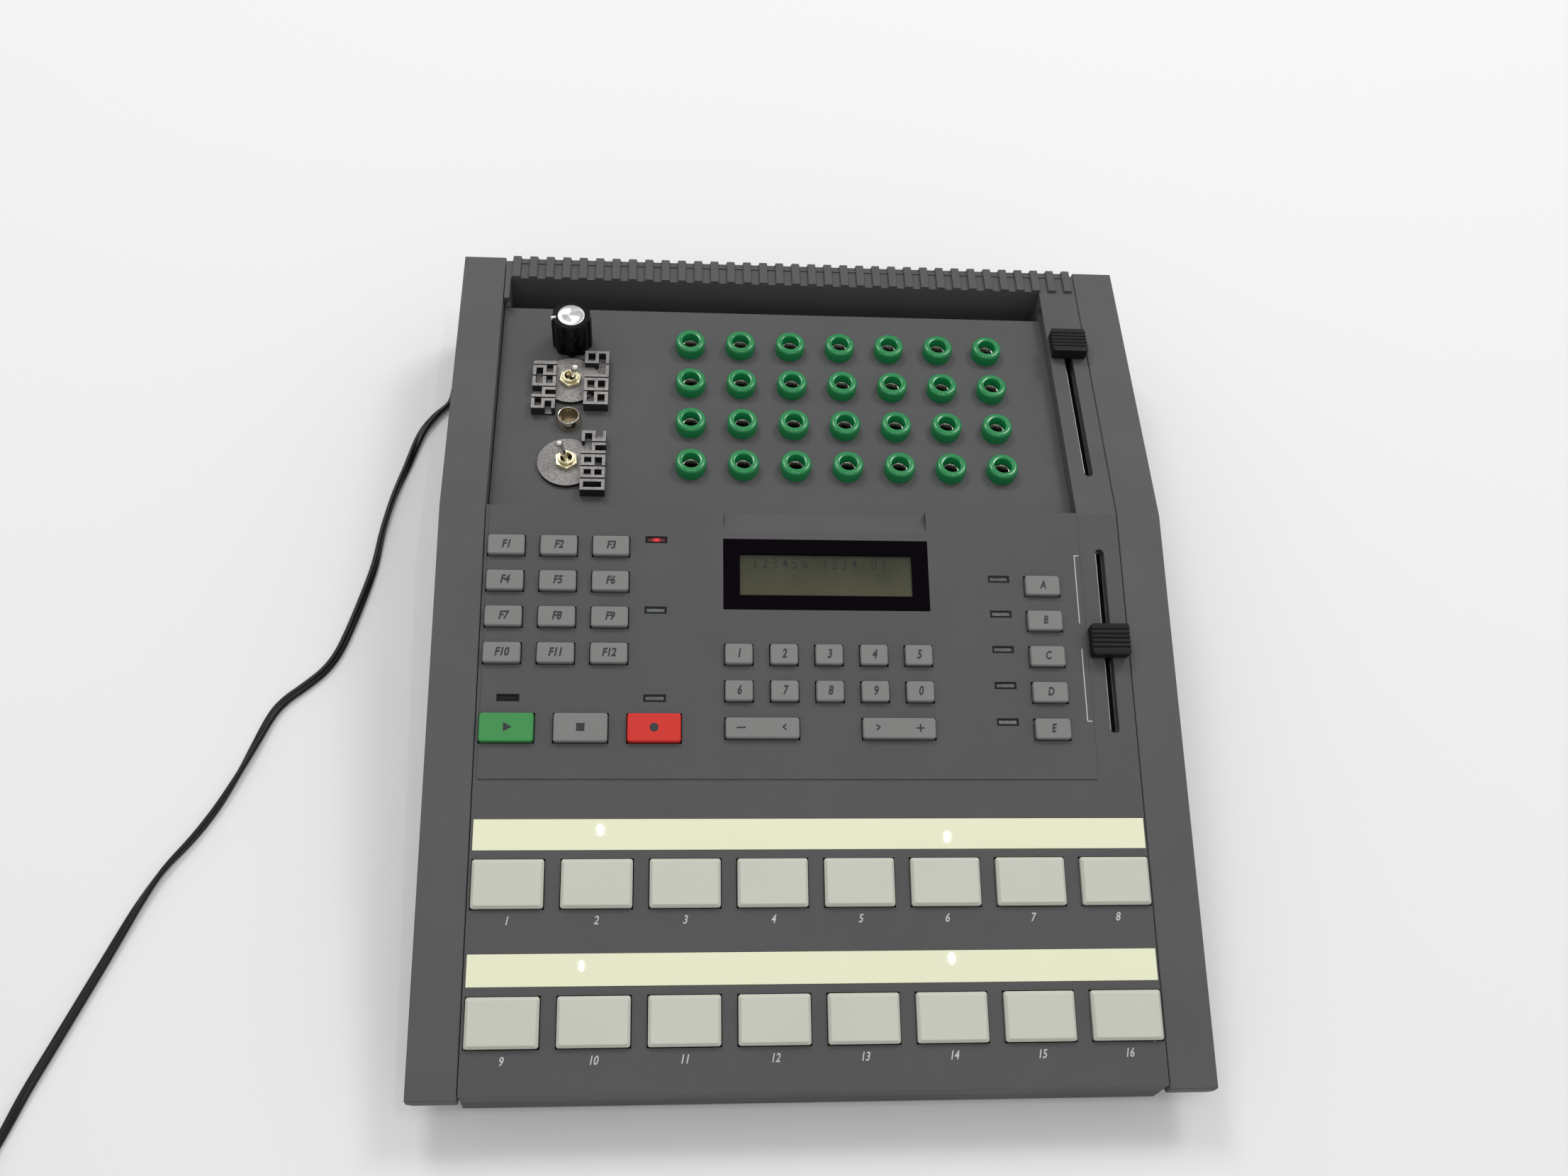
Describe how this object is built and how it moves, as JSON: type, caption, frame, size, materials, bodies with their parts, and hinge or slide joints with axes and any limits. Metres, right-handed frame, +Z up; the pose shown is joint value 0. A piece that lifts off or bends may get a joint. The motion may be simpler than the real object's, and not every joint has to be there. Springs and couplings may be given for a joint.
{
  "type": "drum machine",
  "caption": "Desktop drum machine with two rows of trigger pads, a raised key and display panel, two faders, and a rear recess of patch sockets, a knob and switches.",
  "frame": {"origin": "centre of the machine's footprint at the height of the table under its rubber feet", "axes": "+X to the right as the player sees it, +Y from the player to the rear connectors, +Z up"},
  "size_m": [0.52, 0.4637, 0.0636],
  "materials": {
    "case_grey": "satin",
    "case_base": "satin",
    "cheek_grey": "satin",
    "pad_cream": "satin",
    "key_grey": "satin",
    "key_green": "satin",
    "key_red": "satin",
    "label_pale": "gloss",
    "lens_smoke": "gloss",
    "window_black": "gloss",
    "lcd_olive": "satin",
    "board_green": "satin",
    "fader_dark": "satin",
    "fader_frame": "satin",
    "knob_black": "satin",
    "knob_disc": "brushed",
    "pot_steel": "satin",
    "switch_steel": "satin",
    "nut_brass": "satin",
    "bezel_chrome": "polished",
    "plate_print": "rough",
    "collar_green": "gloss",
    "socket_nickel": "polished",
    "connector_steel": "satin",
    "connector_black": "satin",
    "rubber_black": "matte",
    "screw_steel": "satin",
    "cord_black": "satin"
  },
  "bodies": {
    "case": {"bottom_case": "case_base", "top_case": "case_grey", "left_cheek": "cheek_grey", "right_cheek": "cheek_grey", "circuit_board": "board_green", "display_window": "window_black", "lcd_module": "lcd_olive", "label_strips": "label_pale", "indicator_lenses": "lens_smoke", "fader_bodies": "fader_frame", "knob_pot": "pot_steel", "toggle_bodies": "switch_steel", "toggle_nuts": "nut_brass", "sensor_bezel": "bezel_chrome", "upper_plate": "plate_print", "lower_plate": "plate_print", "jack_collars": "collar_green", "jack_sockets": "socket_nickel", "output_jacks": "connector_steel", "midi_sockets": "connector_black", "power_inlet": "connector_black", "rubber_feet": "rubber_black", "case_screws": "screw_steel", "power_cord": "cord_black", "cord_coil": "cord_black", "barrel_plug": "connector_black", "mains_adapter": "connector_black"},
    "trigger_1": {"pad_1": "pad_cream"},
    "trigger_2": {"pad_2": "pad_cream"},
    "trigger_3": {"pad_3": "pad_cream"},
    "trigger_4": {"pad_4": "pad_cream"},
    "trigger_5": {"pad_5": "pad_cream"},
    "trigger_6": {"pad_6": "pad_cream"},
    "trigger_7": {"pad_7": "pad_cream"},
    "trigger_8": {"pad_8": "pad_cream"},
    "trigger_9": {"pad_9": "pad_cream"},
    "trigger_10": {"pad_10": "pad_cream"},
    "trigger_11": {"pad_11": "pad_cream"},
    "trigger_12": {"pad_12": "pad_cream"},
    "trigger_13": {"pad_13": "pad_cream"},
    "trigger_14": {"pad_14": "pad_cream"},
    "trigger_15": {"pad_15": "pad_cream"},
    "trigger_16": {"pad_16": "pad_cream"},
    "function_left": {"function_keys_left": "key_grey"},
    "function_middle": {"function_keys_middle": "key_grey"},
    "function_right": {"function_keys_right": "key_grey"},
    "play": {"play_key": "key_green"},
    "stop": {"stop_key": "key_grey"},
    "record": {"record_key": "key_red"},
    "numbers_upper": {"number_keys_upper": "key_grey"},
    "numbers_lower": {"number_keys_lower": "key_grey"},
    "cursors": {"cursor_keys": "key_grey"},
    "selects": {"select_keys": "key_grey"},
    "front_fader": {"front_fader_cap": "fader_dark"},
    "rear_fader": {"rear_fader_cap": "fader_dark"},
    "knob_turn": {"knob": "knob_black", "knob_insert": "knob_disc"},
    "upper_switch": {"upper_toggle_lever": "switch_steel"},
    "lower_switch": {"lower_toggle_lever": "switch_steel"},
    "power_switch": {"power_rocker": "connector_black"}
  },
  "joints": [
    {"name": "trigger_1_press", "type": "slide", "parent": "case", "child": "trigger_1", "axis": [0, 0.1736, -0.9848], "range_m": [0, 0.0012], "stiffness_N_per_m": 500, "springref_m": -0.0006},
    {"name": "trigger_2_press", "type": "slide", "parent": "case", "child": "trigger_2", "axis": [0, 0.1736, -0.9848], "range_m": [0, 0.0012], "stiffness_N_per_m": 500, "springref_m": -0.0006},
    {"name": "trigger_3_press", "type": "slide", "parent": "case", "child": "trigger_3", "axis": [0, 0.1736, -0.9848], "range_m": [0, 0.0012], "stiffness_N_per_m": 500, "springref_m": -0.0006},
    {"name": "trigger_4_press", "type": "slide", "parent": "case", "child": "trigger_4", "axis": [0, 0.1736, -0.9848], "range_m": [0, 0.0012], "stiffness_N_per_m": 500, "springref_m": -0.0006},
    {"name": "trigger_5_press", "type": "slide", "parent": "case", "child": "trigger_5", "axis": [0, 0.1736, -0.9848], "range_m": [0, 0.0012], "stiffness_N_per_m": 500, "springref_m": -0.0006},
    {"name": "trigger_6_press", "type": "slide", "parent": "case", "child": "trigger_6", "axis": [0, 0.1736, -0.9848], "range_m": [0, 0.0012], "stiffness_N_per_m": 500, "springref_m": -0.0006},
    {"name": "trigger_7_press", "type": "slide", "parent": "case", "child": "trigger_7", "axis": [0, 0.1736, -0.9848], "range_m": [0, 0.0012], "stiffness_N_per_m": 500, "springref_m": -0.0006},
    {"name": "trigger_8_press", "type": "slide", "parent": "case", "child": "trigger_8", "axis": [0, 0.1736, -0.9848], "range_m": [0, 0.0012], "stiffness_N_per_m": 500, "springref_m": -0.0006},
    {"name": "trigger_9_press", "type": "slide", "parent": "case", "child": "trigger_9", "axis": [0, 0.1736, -0.9848], "range_m": [0, 0.0012], "stiffness_N_per_m": 500, "springref_m": -0.0006},
    {"name": "trigger_10_press", "type": "slide", "parent": "case", "child": "trigger_10", "axis": [0, 0.1736, -0.9848], "range_m": [0, 0.0012], "stiffness_N_per_m": 500, "springref_m": -0.0006},
    {"name": "trigger_11_press", "type": "slide", "parent": "case", "child": "trigger_11", "axis": [0, 0.1736, -0.9848], "range_m": [0, 0.0012], "stiffness_N_per_m": 500, "springref_m": -0.0006},
    {"name": "trigger_12_press", "type": "slide", "parent": "case", "child": "trigger_12", "axis": [0, 0.1736, -0.9848], "range_m": [0, 0.0012], "stiffness_N_per_m": 500, "springref_m": -0.0006},
    {"name": "trigger_13_press", "type": "slide", "parent": "case", "child": "trigger_13", "axis": [0, 0.1736, -0.9848], "range_m": [0, 0.0012], "stiffness_N_per_m": 500, "springref_m": -0.0006},
    {"name": "trigger_14_press", "type": "slide", "parent": "case", "child": "trigger_14", "axis": [0, 0.1736, -0.9848], "range_m": [0, 0.0012], "stiffness_N_per_m": 500, "springref_m": -0.0006},
    {"name": "trigger_15_press", "type": "slide", "parent": "case", "child": "trigger_15", "axis": [0, 0.1736, -0.9848], "range_m": [0, 0.0012], "stiffness_N_per_m": 500, "springref_m": -0.0006},
    {"name": "trigger_16_press", "type": "slide", "parent": "case", "child": "trigger_16", "axis": [0, 0.1736, -0.9848], "range_m": [0, 0.0012], "stiffness_N_per_m": 500, "springref_m": -0.0006},
    {"name": "function_left_press", "type": "slide", "parent": "case", "child": "function_left", "axis": [0, 0.1736, -0.9848], "range_m": [0, 0.001], "stiffness_N_per_m": 400, "springref_m": -0.0006},
    {"name": "function_middle_press", "type": "slide", "parent": "case", "child": "function_middle", "axis": [0, 0.1736, -0.9848], "range_m": [0, 0.001], "stiffness_N_per_m": 400, "springref_m": -0.0006},
    {"name": "function_right_press", "type": "slide", "parent": "case", "child": "function_right", "axis": [0, 0.1736, -0.9848], "range_m": [0, 0.001], "stiffness_N_per_m": 400, "springref_m": -0.0006},
    {"name": "play_press", "type": "slide", "parent": "case", "child": "play", "axis": [0, 0.1736, -0.9848], "range_m": [0, 0.001], "stiffness_N_per_m": 300, "springref_m": -0.0006},
    {"name": "stop_press", "type": "slide", "parent": "case", "child": "stop", "axis": [0, 0.1736, -0.9848], "range_m": [0, 0.001], "stiffness_N_per_m": 300, "springref_m": -0.0006},
    {"name": "record_press", "type": "slide", "parent": "case", "child": "record", "axis": [0, 0.1736, -0.9848], "range_m": [0, 0.001], "stiffness_N_per_m": 300, "springref_m": -0.0006},
    {"name": "numbers_upper_press", "type": "slide", "parent": "case", "child": "numbers_upper", "axis": [0, 0.1736, -0.9848], "range_m": [0, 0.001], "stiffness_N_per_m": 400, "springref_m": -0.0006},
    {"name": "numbers_lower_press", "type": "slide", "parent": "case", "child": "numbers_lower", "axis": [0, 0.1736, -0.9848], "range_m": [0, 0.001], "stiffness_N_per_m": 400, "springref_m": -0.0006},
    {"name": "cursors_press", "type": "slide", "parent": "case", "child": "cursors", "axis": [0, 0.1736, -0.9848], "range_m": [0, 0.001], "stiffness_N_per_m": 400, "springref_m": -0.0006},
    {"name": "selects_press", "type": "slide", "parent": "case", "child": "selects", "axis": [0, 0.1736, -0.9848], "range_m": [0, 0.001], "stiffness_N_per_m": 400, "springref_m": -0.0006},
    {"name": "front_fader_slide", "type": "slide", "parent": "case", "child": "front_fader", "axis": [0, 0.9848, 0.1736], "range_m": [-0.0286, 0.0314]},
    {"name": "rear_fader_slide", "type": "slide", "parent": "case", "child": "rear_fader", "axis": [0, 0.9979, -0.0645], "range_m": [-0.0596, 0]},
    {"name": "knob_spin", "type": "hinge", "parent": "case", "child": "knob_turn", "pos_m": [-0.091, 0.12584, 0.05467], "axis": [0, 0.0645, 0.9979], "range_deg": [-150, 150]},
    {"name": "upper_switch_flip", "type": "hinge", "parent": "case", "child": "upper_switch", "pos_m": [-0.091, 0.10459, 0.05003], "axis": [0.6428, 0.7644, -0.0494], "range_deg": [-34, 0]},
    {"name": "lower_switch_flip", "type": "hinge", "parent": "case", "child": "lower_switch", "pos_m": [-0.091, 0.06398, 0.05266], "axis": [-0.5, -0.8642, 0.0559], "range_deg": [-34, 0]},
    {"name": "power_switch_rock", "type": "hinge", "parent": "case", "child": "power_switch", "pos_m": [-0.074, 0.15918, 0.017], "axis": [0, 0, 1], "range_deg": [-16, 0]}
  ]
}
